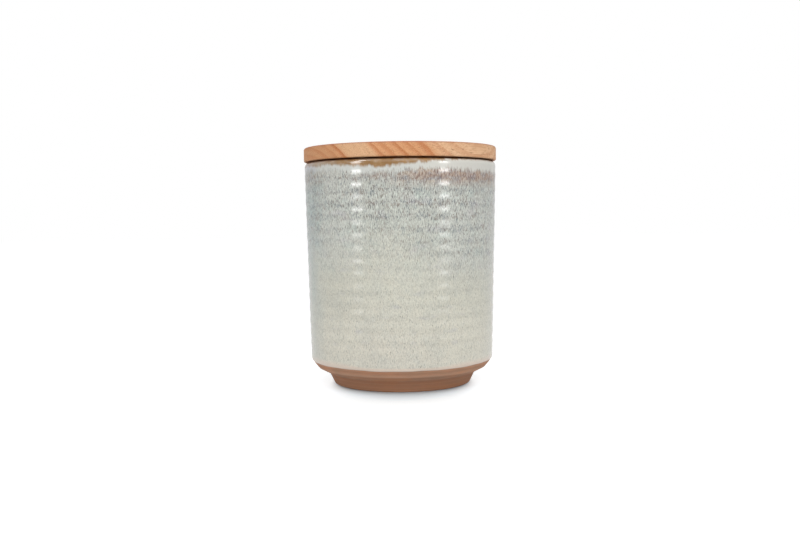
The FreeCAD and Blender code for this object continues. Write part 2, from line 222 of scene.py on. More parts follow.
def rib(height, angle):
    """How far a rib stands out at a height and an angle; crests and valleys drift slowly."""
    turn = (height - RIB_BOTTOM) / RIB_PITCH
    drift = 0.03 * np.sin(angle + 2.1 * turn) + 0.02 * np.sin(3 * angle - 1.3 * turn)
    uneven = 0.10 * np.sin(2 * angle + 1.7 * turn) + 0.05 * np.sin(5 * angle)
    press = np.interp(turn, np.arange(RIB_COUNT) + 0.5, FINGER_PRESS)
    depth = RIB_DEPTH / 2 * press * (1 + uneven)
    fade = np.clip(2 * turn, 0, 1) * np.clip(2 * (RIB_COUNT - turn), 0, 1)
    return depth * fade * np.sin(2 * math.pi * (turn + drift))


def waver(height, angle):
    """How far the whole wall stands out of true at a height and an angle."""
    oval = 0.05 * np.sin(2 * angle + 0.6 + height / 60)
    slow = 0.025 * np.sin(3 * angle - height / 25) + 0.012 * np.sin(7 * angle + height / 9)
    return (oval + slow) * np.clip((height - 4) / 20, 0, 1)


def faded_in(height):
    """0 at the glaze line, growing to 1 below the lowest rib."""
    return np.clip((height - 12) / 4, 0, 1)


# %% [markdown]
# The glaze lies on the clay, so the clay's outside is drawn first, as one line of evenly spaced
# points. It leaves out ribs and waver, which are added to it for each angle later.

# %% Draw the clay's outside
PATH_SPACING = 0.45


def clay_path():
    """Points along the clay's outside, unribbed: crease, shoulder, wall, rim, inside the mouth."""
    top_radius = SHOULDER_RADIUS + WALL_LEAN * (CLAY_TOP - SHOULDER_HEIGHT)
    mouth_low = COAT_END - 0.2
    inside = top_radius - WALL - WALL_LEAN * (CLAY_TOP - mouth_low)
    corners = [
        (*CREASE, 0),
        (SHOULDER_RADIUS, SHOULDER_HEIGHT, SHOULDER_ROUNDING),
        (top_radius, CLAY_TOP, RIM_ROUNDING),
        (top_radius - WALL, CLAY_TOP, RIM_ROUNDING),
        (inside, mouth_low, 0),
    ]
    return np.array(rounded(corners, steps=12))


def resampled(path, spacing):
    """The same path with points at an even spacing."""
    leg = np.hypot(*np.diff(path, axis=0).T)
    along = np.concatenate([[0], np.cumsum(leg)])
    wanted = np.linspace(0, along[-1], int(along[-1] / spacing) + 1)
    return np.column_stack([np.interp(wanted, along, path[:, i]) for i in (0, 1)]), wanted


CLAY_LINE, CLAY_RUN = resampled(clay_path(), PATH_SPACING)
print("the clay's outside", round(float(CLAY_RUN[-1]), 1), "mm,", len(CLAY_LINE), "points")

# %% [markdown]
# ## The reactive glaze
#
# The pot was dipped upside down, so the glaze covers the wall and the rim and turns down into the
# mouth. It is four tenths of a millimetre thick. Its lower edge is where the dip ended: a soft
# rolled lip that waves a little. A Solidify modifier could not thin the coat out at its edges, so
# both skins are computed: the clay's surface, and the same points pushed out along the normal by
# a thickness that tapers at both ends. Nobody sees the inner skin, so above the lip it keeps only
# every third row.

# %% Compute both skins of the glaze
EDGE_RISE = 0.55
EDGE_FALL = 0.4
EDGE_SUNK = 0.02
LOWER_POINTS = 40
LIP_ROWS = 12
INNER_EVERY = 3


def glaze_skins():
    """Tables of the glaze's outer and inner skin, from the glaze line to its end in the mouth."""
    lean = np.gradient(CLAY_LINE, axis=0)
    lean /= np.linalg.norm(lean, axis=1)[:, None]
    out = np.column_stack([lean[:, 1], -lean[:, 0]])
    angle = ANGLES[None, :]
    flat_height = CLAY_LINE[:, 1:2]
    on_wall = faded_in(flat_height) * np.clip(out[:, 0:1], 0, 1)
    shift = rib(flat_height, angle) * on_wall + waver(flat_height, angle)
    clay_radius = CLAY_LINE[:, 0:1] + shift
    clay_height = np.repeat(flat_height, AROUND, axis=1)
    lower = CLAY_LINE[:LOWER_POINTS, 1]
    start = float(np.interp(GLAZE_LINE, lower, CLAY_RUN[:LOWER_POINTS]))
    slant = 0.28 * np.cos(2 * angle) + 0.12 * np.cos(angle)
    wave = slant + 0.08 * np.sin(8 * angle) + 0.05 * np.sin(19 * angle + 2)
    first = start + wave
    share = np.linspace(0, 1, len(CLAY_LINE))[:, None] ** 1.15
    run = first + (CLAY_RUN[-1] - first) * share
    tables = []
    for source in (clay_radius, clay_height, out[:, 0:1] + 0 * shift, out[:, 1:2] + 0 * shift):
        column = [np.interp(run[:, j], CLAY_RUN, source[:, j]) for j in range(AROUND)]
        tables.append(np.array(column).T)
    radius, height, out_r, out_z = tables
    rise = np.clip((run - first) / EDGE_RISE, 0, 1)
    fall = np.clip((CLAY_RUN[-1] - run) / EDGE_FALL, 0, 1)
    thick = COAT * np.sqrt(1 - (1 - rise) ** 2) * (0.6 + 0.4 * np.sqrt(1 - (1 - fall) ** 2))
    outer = radius + out_r * thick, height + out_z * thick
    sunk = EDGE_SUNK * (1 - (1 - rise) ** 2)
    inner = radius - out_r * sunk, height - out_z * sunk
    return outer, inner


outer_skin, inner_skin = glaze_skins()
kept = list(range(LIP_ROWS)) + list(range(LIP_ROWS, len(CLAY_LINE) - 1, INNER_EVERY))
skins = [np.concatenate([out, back[kept][::-1]]) for out, back in zip(outer_skin, inner_skin)]
glazed_wall = turned("glazed_wall", *skins)

# %% [markdown]
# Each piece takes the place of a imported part, so it has to lie where that part does. The distance
# between the two is measured and printed before the piece is handed over.

# %% Measure a piece and hand it over
EVERY = 7


def departure(piece, node):
    """Prints how far a piece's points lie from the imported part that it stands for."""
    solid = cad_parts[node]
    tree = BVHTree.FromObject(solid, bpy.context.evaluated_depsgraph_get())
    points = [piece.matrix_world @ v.co for v in list(piece.data.vertices)[::EVERY]]
    far = [tree.find_nearest(p)[3] * 1000 for p in points]
    most, mean = round(max(far), 3), round(sum(far) / len(far), 3)
    print(piece.name, "stands off", node, "by", most, "mm at most, mean", mean)


def take_place(piece, node, body):
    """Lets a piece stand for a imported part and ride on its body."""
    departure(piece, node)
    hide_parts(node)
    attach(piece, body)


take_place(glazed_wall, "reactive_glaze_coat", "bowl")

# %% [markdown]
# ## The clay
#
# Below the glaze the fired clay shows: an outer cone under the shoulder, a crease, an inner cone
# and the foot ring that the pot stands on. The potter turns these with a loop tool once the clay
# is leather-hard, and the tool leaves fine rings. They are modelled on the bare part of the
# outline as a wobble of a few hundredths of a millimetre.

# %% Turn the clay pot
BARE_OVERLAP = 1.5
INSIDE_THE_WALL = 38.2


def tooled(outline, spacing=0.3):
    """Adds the fine rings of a turning tool to a bare stretch of an outline."""
    path, run = resampled(np.array(outline), spacing)
    way = np.gradient(path, axis=0)
    way /= np.linalg.norm(way, axis=1)[:, None]
    rings = 0.02 * np.sin(run * 2 * math.pi / 0.9) + 0.012 * np.sin(run * 2 * math.pi / 1.7 + 1)
    rings *= np.clip(run / 0.6, 0, 1) * np.clip((run[-1] - run) / 0.6, 0, 1)
    return path + np.column_stack([way[:, 1], -way[:, 0]]) * rings[:, None]


def inner_clay(height):
    """Inside radius of the clay at a height."""
    return SHOULDER_RADIUS - WALL + WALL_LEAN * (height - SHOULDER_HEIGHT)


def clay_outline():
    """The whole clay outline: underside, foot, cones, wall, rim, mouth, inner wall and floor."""
    under = rounded(
        [
            (0, RECESS[1], 0),
            (*RECESS, 0.5),
            (SOLE_INSIDE, 0, 0.7),
            (SOLE_OUTSIDE, 0, 0.7),
            (*FOOT_TOP, 0.25),
            (*CREASE, 0),
        ]
    )[:-1]
    side_start = next(i for i, p in enumerate(under) if p[0] > SOLE_INSIDE + 1 and p[1] > 0.5)
    covered = GLAZE_LINE + BARE_OVERLAP
    glazed_start = next(i for i, p in enumerate(CLAY_LINE) if p[1] > covered)
    bare = tooled(under[side_start:] + list(CLAY_LINE[:glazed_start]))
    floor_corner = (inner_clay(CLAY_FLOOR), CLAY_FLOOR, INNER_CORNER)
    inside = rounded([(*CLAY_LINE[-1], 0), floor_corner, (0, CLAY_FLOOR, 0)], steps=10)[1:]
    return np.array(under[:side_start] + list(bare) + list(CLAY_LINE[glazed_start::2]) + inside)


outline = clay_outline()
angle = ANGLES[None, :]
flat = outline[:, 1:2]
outside = (outline[:, 0:1] > INSIDE_THE_WALL + WALL_LEAN * flat) & (flat > 12)
shift = waver(flat, angle) + np.where(outside, rib(flat, angle) * faded_in(flat), 0)
clay_radius = np.where(outline[:, 0:1] > 0, outline[:, 0:1] + shift, 0)
clay_pot = turned("clay_pot", clay_radius, np.repeat(flat, AROUND, axis=1))
take_place(clay_pot, "stoneware_body", "bowl")

# %% [markdown]
# ## The glaze inside
#
# The inside has its own plain liner glaze, poured in and swilled round before the dip. It runs
# from the floor, round a wide corner that a spoon can follow, up to the reactive glaze in the
# mouth. It is a thin shell with both skins, turned from one outline.

# %% Turn the lining
LINER_END = 0.25


def lining_outline():
    """Both skins of the liner: up the clay, over its upper edge, down the glaze to the floor."""
    top = COAT_END - LINER_END
    corners = [
        (0, CLAY_FLOOR, 0),
        (inner_clay(CLAY_FLOOR), CLAY_FLOOR, INNER_CORNER),
        (inner_clay(top), top, 0),
        (inner_clay(top) - LINER, top, 0.15),
        (inner_clay(CLAY_FLOOR + LINER) - LINER, CLAY_FLOOR + LINER, INNER_CORNER - LINER),
        (0, CLAY_FLOOR + LINER, 0),
    ]
    return rounded(corners, steps=14)


def filled(outline, spacing):
    """Adds points along the long straights of an outline that starts and ends on the axis."""
    points = []
    for here, ahead in zip(outline, outline[1:]):
        gap = float(np.hypot(*(np.array(ahead) - here)))
        count = max(1, int(gap / spacing))
        points += [here + (np.array(ahead) - here) * (k / count) for k in range(count)]
    return points + [np.array(outline[-1])]


lining_radius, lining_height = even(filled(lining_outline(), 3.0))
lining_radius = np.where(lining_radius > 0, lining_radius + waver(lining_height, angle), 0)
lining_coat = turned("lining_coat", lining_radius, lining_height)
take_place(lining_coat, "liner_glaze_coat", "bowl")

# %% [markdown]
# ## The lid
#
# The lid is one round board with a plug left standing below it. A turner faces the board, turns
# the plug and cuts a square groove round it for the seal, and then breaks every edge with
# abrasive. The top is left a tenth of a millimetre proud in the middle, because sanding on the
# lathe takes a little more off towards the edge.

# %% Turn the lid from a board
GROOVE_PLAY = 0.06
PLUG_CHAMFER = 0.8
TOP_CROWN = 0.12


def lid_outline():
    """The lid's outline, from the middle of the plug's face up to the middle of the top."""
    groove_bottom = SEAL_BOTTOM - GROOVE_PLAY
    groove_top = SEAL_TOP + GROOVE_PLAY
    corners = [
        (0, PLUG_BOTTOM, 0),
        (PLUG_RADIUS - PLUG_CHAMFER, PLUG_BOTTOM, 0.3),
        (PLUG_RADIUS, PLUG_BOTTOM + PLUG_CHAMFER, 0.3),
        (PLUG_RADIUS, groove_bottom, 0.12),
        (GROOVE_RADIUS, groove_bottom, 0.1),
        (GROOVE_RADIUS, groove_top, 0.1),
        (PLUG_RADIUS, groove_top, 0.12),
        (PLUG_RADIUS, LID_UNDERSIDE, 0.3),
        (LID_RADIUS, LID_UNDERSIDE, 0.6),
        (LID_RADIUS, LID_TOP - TOP_CROWN, 1.0),
        (0, LID_TOP, 0),
    ]
    return rounded(corners, steps=7)


lid_board = turned("lid_board", *even(filled(lid_outline(), 4.0)))
take_place(lid_board, "wooden_lid", "lid")

# %% [markdown]
# ## The seal
#
# A band of milky silicone sits in the lid's groove, with two soft lips that lean up and press
# against the mouth. It is moulded, so its edges are all slightly rounded and the lips taper.

# %% Turn the seal
BAND_THICKNESS = 1.7
LIP_OFFSET = 1.3
LOWER_LIP_SHORTER = 0.02


def seal_outline():
    """The seal's outline: a band with two lips on its outer side."""
    inside = GROOVE_RADIUS + GROOVE_PLAY
    outside = inside + BAND_THICKNESS
    middle = (SEAL_BOTTOM + SEAL_TOP) / 2
    corners = [(inside, SEAL_BOTTOM, 0.25), (outside, SEAL_BOTTOM, 0.25)]
    for lip, shorter in ((middle - LIP_OFFSET, LOWER_LIP_SHORTER), (middle + LIP_OFFSET, 0)):
        reach = LIP_REACH - shorter
        corners += [
            (outside, lip - 0.5, 0.15),
            (reach, lip + 0.2, 0.2),
            (reach, lip + 0.8, 0.25),
            (outside, lip + 0.5, 0.15),
        ]
    corners += [(outside, SEAL_TOP, 0.25), (inside, SEAL_TOP, 0.25)]
    return rounded(corners, steps=4)


lid_seal = turned("lid_seal", *even(seal_outline()))
take_place(lid_seal, "silicone_seal", "seal")

# %% [markdown]
# ## Wiring a finish
#
# Every finish is a Principled surface with a few noises in front of it. Noise in the piece's own
# space has no seam round a pot, as an unwrapped pattern would. Two small classes keep the wiring
# readable: each method adds a node or two and returns what they give. Colours are written as the
# eye reads them, and turned into the linear values that light uses.

# %% Colours in linear values
def to_linear(level):
    """One channel, from the 0 to 255 that the eye reads to the share that light uses."""
    share = level / 255
    return share / 12.92 if level < 10 else ((share + 0.055) / 1.055) ** 2.4


def paint(value):
    """Three levels from 0 to 255 as a colour; a socket or a linear colour stays as it is."""
    if isinstance(value, tuple) and len(value) == 3:
        return (*map(to_linear, value), 1.0)
    return value


def grey(share):
    """A grey that reflects or gives a share of the light."""
    return (share, share, share, 1.0)


# %% A helper for any node tree
class Wiring:
    """A node tree; each method adds nodes and returns the socket to go on from."""

    def __init__(self, tree):
        self.tree = tree

    def node(self, kind, *inputs, **settings):
        """A new shader node of a kind, with its settings made and its first inputs fed."""
        node = self.tree.nodes.new("ShaderNode" + kind)
        for name, value in settings.items():
            setattr(node, name, value)
        for index, value in enumerate(inputs):
            self.feed(node.inputs[index], value)
        return node

    def feed(self, socket, value):
        """Links another node's output to a socket, or writes a plain value into it."""
        if isinstance(value, bpy.types.NodeSocket):
            self.tree.links.new(value, socket)
        else:
            socket.default_value = value

    def fill(self, node, **values):
        """Feeds a node's inputs by name, with _ for a space."""
        for name, value in values.items():
            self.feed(node.inputs[name.replace("_", " ")], value)

    def calc(self, operation, *values, clamp=False):
        """One step of arithmetic."""
        return self.node("Math", *values, operation=operation, use_clamp=clamp).outputs[0]

    def scaled(self, value, size, start):
        """A value times a size, plus a start."""
        return self.calc("MULTIPLY_ADD", value, size, start)

    def times(self, first, *others):
        """The product of all values."""
        for value in others:
            first = self.calc("MULTIPLY", first, value)
        return first

    def plus(self, first, *others):
        """The sum of all values."""
        for value in others:
            first = self.calc("ADD", first, value)
        return first

    def apart(self, value, middle):
        """How far a value is from a middle, to either side."""
        return self.calc("ABSOLUTE", self.calc("SUBTRACT", value, middle))

    def swing(self, noise, size):
        """A noise from 0 to 1 turned into a shift from half a size down to half a size up."""
        return self.scaled(noise, size, -size / 2)

    def vector(self, operation, *values, output=0):
        """One step of arithmetic with places or directions."""
        node = self.node("VectorMath", *values, operation=operation)
        return node.outputs[output]

    def place_at(self, *numbers):
        """A place made of its coordinates."""
        return self.node("CombineXYZ", *numbers).outputs[0]

    def split(self, place):
        """The three coordinates of a place."""
        return self.node("SeparateXYZ", place).outputs

    def step(self, value, low, high, start=0.0, end=1.0):
        """A smooth step from start to end while the value goes from low to high."""
        node = self.node("MapRange", value, low, high, start, end)
        node.interpolation_type = "SMOOTHSTEP"
        return node.outputs[0]

    def mix(self, share, first, second):
        """A colour between two colours."""
        node = self.node("Mix", data_type="RGBA")
        self.feed(node.inputs[0], share)
        self.feed(node.inputs[6], paint(first))
        self.feed(node.inputs[7], paint(second))
        return node.outputs[2]

    def ramp(self, value, *stops):
        """Colours at places from 0 to 1."""
        node = self.node("ValToRGB", value)
        elements = node.color_ramp.elements
        for end, (position, colour) in zip(elements, (stops[0], stops[-1])):
            end.position, end.color = position, paint(colour)
        for position, colour in stops[1:-1]:
            elements.new(position).color = paint(colour)
        return node.outputs[0]

    def graph(self, value, *stops):
        """A number that follows a graph: pairs of a place from 0 to 1 and a number there."""
        return self.ramp(value, *[(place, grey(share)) for place, share in stops])

    def showing(self, in_gloss):
        """1 where the camera looks, also through something clear; in_gloss in a reflection."""
        ray = self.node("LightPath").outputs
        seen = self.calc("MAXIMUM", ray["Is Camera Ray"], ray["Is Transmission Ray"])
        return self.calc("MAXIMUM", seen, self.times(ray["Is Glossy Ray"], in_gloss))


# %% [markdown]
# A finish is the wiring of one material. Its base colour is built up like paint: a ground, and
# then one tint over another. Coordinates are in metres, in the piece's own space.

# %% A helper for finishes
class Finish(Wiring):
    """A new material with the colour that is built up on it."""

    def __init__(self, name, **settings):
        self.material = bpy.data.materials.new(name)
        self.material.use_nodes = True
        super().__init__(self.material.node_tree)
        self.surface = self.tree.nodes["Principled BSDF"]
        self.fill(self.surface, **settings)
        self.place = self.node("TexCoord").outputs["Object"]
        self.x, self.y, self.z = self.split(self.place)
        self.colour = None

    def noise(self, *sizes, detail=2.0, rough=0.5, offset=0.0, place=None):
        """Soft noise from 0 to 1 whose blotches have the given sizes in millimetres."""
        scale = tuple(1000 / size for size in sizes)
        at = self.vector("MULTIPLY", place or self.place, scale)
        at = self.vector("ADD", at, (offset, offset * 1.7, offset * 0.6))
        node = self.node("TexNoise")
        self.fill(node, Vector=at, Scale=1.0, Detail=detail, Roughness=rough)
        return node.outputs["Fac"]

    def from_axis(self):
        """Distance from the upright axis."""
        return self.vector("LENGTH", self.place_at(self.x, self.y), output="Value")

    def tint(self, colour, *shares):
        """Lays a colour over what is there, by the product of all shares."""
        self.colour = self.mix(self.times(*shares), self.colour, colour)

    def bump(self, height, strength, distance):
        """Relief from a height map, in metres, on top of what was there before."""
        node = self.node("Bump")
        self.fill(node, Strength=strength, Distance=distance, Height=height)
        before = self.surface.inputs["Normal"].links
        if before:
            self.fill(node, Normal=before[0].from_socket)
        self.fill(self.surface, Normal=node.outputs[0])

    def put_on(self, piece):
        """Gives the finish to a piece."""
        self.fill(self.surface, Base_Color=self.colour)
        piece.data.materials.clear()
        piece.data.materials.append(self.material)
        print(self.material.name, "has", len(self.tree.nodes), "nodes and is on", piece.name)


# %% [markdown]
# ## The finish of the reactive glaze
#
# A reactive glaze is two glazes that pull apart as they melt. Where the coat is thin near the
# rim it turns honey brown; below that it goes pale, then a mauve-brown band breaks up into fine
# grey-green streaks that run down the wall, and low on the pot only the cream base is left. The
# colour follows the height, but the height is first shaken by noise, so that no band has a
# straight edge. The wide bands of the wall follow `level`, which runs by up to a centimetre low
# down; the crisp ones near the rim follow `rim_level`, which is shaken by a millimetre or two.

# %% Let the height run
glaze = Finish("reactive_glaze", Roughness=0.09)
slow = glaze.noise(24, 24, 16, offset=3.1)
drip = glaze.noise(0.9, 0.9, 5, offset=7.7)
scallop = glaze.noise(2.4, 2.4, 5, offset=27.0)
runny = glaze.plus(glaze.swing(slow, 0.020), glaze.swing(drip, 0.010))
calm = glaze.step(glaze.z, 0.075, 0.095, 1, 0)
level = glaze.scaled(runny, calm, glaze.z)
crisp = glaze.swing(glaze.noise(7, 7, 7, offset=2.0), 0.0016)
crisp = glaze.plus(crisp, glaze.swing(scallop, 0.0026), glaze.swing(drip, 0.0016))
rim_level = glaze.plus(glaze.z, crisp)
to_right = glaze.plus(glaze.x, glaze.swing(glaze.noise(14, 14, 14), 0.012))
print("heights on the glaze run from", GLAZE_LINE / 1000, "to", BOWL_TOP / 1000, "metres")

# %% [markdown]
# The ground colour is a ramp over that height. Cream at the foot cools to a grey-green two thirds
# of the way up. On the right it does so a little lower, and left of the middle a little higher.

# %% Ground colour by height
RAMP_HEIGHT = 0.11
lower_right = glaze.step(to_right, 0.010, 0.030, 0, 0.004)
cream_patch = glaze.step(glaze.apart(to_right, -0.014), 0.010, 0.028, 0.007, 0)
part_level = glaze.calc("SUBTRACT", glaze.plus(level, lower_right), cream_patch)
glaze.colour = glaze.ramp(
    glaze.times(part_level, 1 / RAMP_HEIGHT),
    (0.10, (210, 205, 191)),
    (0.40, (208, 206, 191)),
    (0.52, (203, 202, 189)),
    (0.62, (191, 193, 183)),
    (0.80, (186, 188, 181)),
    (0.94, (188, 189, 183)),
)
blotch = glaze.noise(7, 7, 6, detail=3, offset=1.3)
glaze.tint((178, 182, 176), glaze.step(blotch, 0.40, 0.70, 0, 0.22))

# %% [markdown]
# The ground is not the same on all sides. In some places it is paler, and near the left edge it is
# darker and bluer.

# %% Paler places and a bluer left edge
PALE = (208, 210, 203)
pale_left = glaze.step(to_right, -0.026, -0.012, 0.7, 0)
glaze.tint(PALE, pale_left, glaze.step(level, 0.05, 0.07))
pale_height = glaze.times(glaze.step(level, 0.050, 0.064), glaze.step(level, 0.086, 0.092, 1, 0))
glaze.tint(PALE, pale_height, glaze.step(to_right, 0.010, 0.022, 0, 0.5))
off_front = glaze.step(glaze.apart(glaze.x, 0), 0.012, 0.024, 0, 0.45)
glaze.tint((226, 222, 206), off_front, glaze.step(level, 0.026, 0.042, 1, 0))
on_left = glaze.step(to_right, -0.043, -0.034, 1, 0)
glaze.tint((150, 166, 168), on_left, glaze.step(level, 0.045, 0.085, 0.3, 0.9))
teal_left = glaze.step(to_right, -0.042, -0.032, 0.25, 0)
glaze.tint((168, 188, 188), teal_left, glaze.step(level, 0.020, 0.050))

# %% [markdown]
# Two glazes never mix evenly. Wide, faint clouds of sea green and of lilac drift over the ground.

# %% Clouds of colour
sea_cloud = glaze.step(glaze.noise(11, 11, 8, offset=81.0), 0.50, 0.72, 0, 0.35)
lilac_cloud = glaze.step(glaze.noise(9, 9, 5, offset=91.0), 0.54, 0.74, 0, 0.35)
high = glaze.step(level, 0.040, 0.080)
glaze.tint((166, 190, 184), sea_cloud, high)
glaze.tint((190, 180, 188), lilac_cloud, high)

# %% [markdown]
# A sine wave with the ribs' own pitch marks a row on each rib, on the slope just below the valley,
# which faces down, and a noise keeps some rows fainter than others. The rows are painted a little
# darker: partly glaze pooled near the valleys, partly painted shade where the light from above
# reaches that slope less. They turn lilac where a lilac cloud crosses them.

# %% Painted shade and pooling in rows on the ribs
TURN_PER_MM = 2 * math.pi / RIB_PITCH
SHADED_ROW_TURN = -1.26
rib_turn = glaze.scaled(glaze.z, 1000 * TURN_PER_MM, -RIB_BOTTOM * TURN_PER_MM)
rib_wave = glaze.calc("SINE", glaze.plus(rib_turn, SHADED_ROW_TURN))
row_sway = glaze.noise(9, 9, 3, offset=17.0)
pooled_and_shaded_row = glaze.scaled(rib_wave, -0.5, 0.5)
pooled_and_shaded_row = glaze.times(pooled_and_shaded_row, glaze.step(row_sway, 0.35, 0.6, 0.2, 1.0))
upper = glaze.step(part_level, 0.044, 0.082)
# Painted shade: each rib's downward slope is tinted darker, together with some glaze pooling.
glaze.tint((120, 122, 118), pooled_and_shaded_row, glaze.scaled(upper, 0.08, 0.02))
smudge = glaze.step(lilac_cloud, 0.05, 0.3, 0, 0.3)
glaze.tint((186, 186, 194), pooled_and_shaded_row, smudge)

# %% [markdown]
# The streaks are noise squeezed sideways: about a quarter of a millimetre wide and one and a half
# long. One noise gives dark streaks, another gives pale ones, and a wider one gives soft tufts.
# They are strong in the upper half, faint near the foot, and all but stop at the pale collar under
# the rim. The dark ones gather a little in the rows of painted shade and pooling on the ribs.

# %% Dark and pale streaks
crowd = glaze.scaled(upper, 0.74, 0.26)
crowd = glaze.times(crowd, glaze.step(rim_level, 0.0976, 0.0996, 1, 0.12))
gathering = glaze.times(pooled_and_shaded_row, glaze.scaled(upper, 0.06, 0.03))
dark_noise = glaze.plus(gathering, glaze.noise(0.27, 0.27, 1.6, detail=1.5, offset=11.0))
dark_streak = glaze.times(glaze.step(dark_noise, 0.55, 0.62), crowd)
wide_noise = glaze.noise(0.8, 0.8, 3.2, detail=1, offset=101.0)
wide_streak = glaze.times(glaze.step(wide_noise, 0.50, 0.62, 0, 0.2), crowd)
pale_noise = glaze.noise(0.29, 0.29, 1.8, detail=1.5, offset=23.0)
pale_streak = glaze.times(glaze.step(pale_noise, 0.50, 0.58), crowd)
dark_share = glaze.step(glaze.noise(3, 3, 4, offset=5.0), 0.35, 0.65)
dark_tint = glaze.mix(dark_share, (84, 96, 108), (112, 92, 84))
glaze.tint((150, 158, 158), wide_streak)
glaze.tint((216, 222, 214), pale_streak, 0.70)
glaze.tint(dark_tint, dark_streak, 0.78)

# %% [markdown]
# A fine mottle of grey and cream and a few small dark specks lie all over the wall. They show
# best low down, where the two glazes have hardly parted and the streaks are faint.

# %% Mottle and specks
mottle = glaze.noise(0.3, 0.3, 0.8, detail=1, rough=0.6, offset=51.0)
glaze.tint((164, 165, 155), glaze.step(mottle, 0.52, 0.68, 0, 0.38))
glaze.tint((229, 227, 215), glaze.step(mottle, 0.32, 0.46, 0.38, 0))
speck = glaze.noise(0.3, 0.3, 1.2, detail=1, offset=61.0)
glaze.tint((122, 122, 112), glaze.step(speck, 0.66, 0.70, 0, 0.7))

# %% [markdown]
# The bands under the rim are not at the same height all the way round, because the pot was held
# at a slant in the dip. A graph from left to right says how far each band drops, as a share of
# its largest drop.

# %% A drop that changes from left to right
SPREAD = 0.09
side_share = glaze.scaled(to_right, 1 / SPREAD, 0.5)


def drop_by_side(largest, stops):
    """A drop in metres from pairs of a place, 0 at the left to 1 at the right, and a share."""
    return glaze.times(glaze.graph(side_share, *stops), largest)


# %% [markdown]
# Under a pale collar lies the mauve-brown band. It is strong on the right, fades towards the
# left and comes back weakly at the far left. Its own coarser streaks are darker.

# %% The brown band under the rim
COLLAR_EDGE = [(0, 0), (0.16, 0.3), (0.30, 0.95), (0.44, 0.95), (0.54, 0.4), (0.72, 0.45), (1, 0.75)]
collar_drop = drop_by_side(0.0020, COLLAR_EDGE)
fringe = glaze.swing(glaze.noise(0.5, 0.5, 3, detail=1, offset=71.0), 0.0050)
collar = glaze.step(glaze.plus(rim_level, collar_drop, fringe), 0.0979, 0.1003)
below_collar = glaze.calc("SUBTRACT", 1, collar)
band_right = glaze.step(to_right, -0.030, 0.024, 0.08, 1.0)
band_left = glaze.step(to_right, -0.040, -0.028, 0.40, 0)
band_side = glaze.calc("MAXIMUM", band_right, band_left)
band = glaze.times(glaze.step(level, 0.0888, 0.0962), below_collar, band_side)
band_share = glaze.step(glaze.noise(3, 3, 2, offset=33.0), 0.35, 0.65)
band_tint = glaze.mix(band_share, (192, 142, 104), (164, 142, 140))
glaze.tint(band_tint, band, 0.46)
band_grain = glaze.noise(0.45, 0.45, 2.2, detail=1.5, offset=31.0)
glaze.tint((106, 76, 66), band, glaze.step(band_grain, 0.48, 0.58), 0.65)

# %% [markdown]
# The collar itself is pale and milky, a little cooler on the left, and lilac at the far left.

# %% Pale collar
cool_to_warm = glaze.step(to_right, 0, 0.015)
collar_tint = glaze.mix(cool_to_warm, (208, 209, 204), (217, 215, 207))
glaze.tint(collar_tint, collar, 0.85)
glaze.tint((190, 185, 202), collar, on_left, 0.5)

# %% [markdown]
# On the rim the glaze is so thin that the brown clay and iron show through as honey. Its lower edge
# runs down furthest left of the middle. Right on top, in the gap under the lid, it is a dark toffee
# brown: partly the thinnest glaze, partly painted shade for the dark gap.

# %% Honey rim
HONEY_EDGE = [(0, 0.55), (0.12, 0.56), (0.22, 0.58), (0.30, 0.72)]
HONEY_EDGE += [(0.42, 1), (0.52, 0.6), (0.66, 0.3), (0.76, 0)]
honey_drop = drop_by_side(0.0036, HONEY_EDGE)
honey = glaze.step(glaze.plus(rim_level, honey_drop), 0.1018, 0.1034)
honey_thin = glaze.step(glaze.noise(5, 5, 2, detail=3, offset=9.0), 0.3, 0.6, 0.75, 1.0)
honey_dull = glaze.step(to_right, -0.036, -0.022, 0.7, 1.0)
honey_tint = glaze.mix(scallop, (132, 96, 56), (170, 134, 90))
glaze.tint(honey_tint, honey, honey_thin, honey_dull)
# Partly painted shade: a dark toffee band on top of the rim deepens the shadow in the gap under the
# lid.
glaze.tint((68, 22, 0), glaze.step(glaze.z, 0.1023, 0.1029, 0, 0.9))

# %% [markdown]
# At the glaze line the coat thins to a pale, slightly pink edge, wider at the sides. The surface
# is glossy, with the very slight waviness of something that was once liquid.

# %% Glaze line, relief and gloss
edge_top = glaze.step(glaze.apart(glaze.x, 0), 0.014, 0.030, 0.0127, 0.0146)
glaze.tint((222, 204, 188), glaze.step(glaze.z, 0.0114, edge_top, 0.9, 0))
glaze.bump(glaze.noise(2.2, 2.2, 3.5, offset=40.0), 0.5, 0.00001)
glaze.bump(glaze.calc("SUBTRACT", pale_streak, dark_streak), 0.3, 0.000004)
glaze.put_on(glazed_wall)

# %% [markdown]
# ## The finish of the bare clay
#
# The clay fires to a warm brown, matt and slightly gritty. A noise that only sees the radius and the
# height gives the fine rings of the turning tool. The flame leaves faint flashes of orange and grey.
# The foot ring is painted a little darker: painted shade under the bowl's overhang.

# %% Bare clay
clay = Finish("bare_clay", Roughness=0.82)
ring_place = clay.place_at(clay.from_axis(), clay.z)
rings = clay.noise(0.5, 0.5, 1.0, detail=3, rough=0.6, place=ring_place)
cloud = clay.noise(9, 9, 3, detail=3, offset=2.0)
grit = clay.noise(0.3, 0.3, 0.3, offset=6.0)
flash = clay.noise(12, 12, 1.6, offset=12.0)
clay.colour = clay.mix(clay.step(cloud, 0.3, 0.7), (185, 132, 101), (172, 123, 94))
clay.tint((208, 164, 136), clay.step(rings, 0.35, 0.65, 0, 0.6))
clay.tint((112, 78, 58), clay.step(grit, 0.62, 0.75, 0, 0.5))
clay.tint((204, 138, 94), clay.step(flash, 0.5, 0.7, 0, 0.5))
clay.tint((164, 132, 106), clay.step(flash, 0.3, 0.5, 0.45, 0))
# Painted shade: the foot ring is darkened as if in the shade under the bowl's overhang.
clay.tint((157, 106, 74), clay.step(clay.z, 0.0046, 0.0058, 0.6, 0))
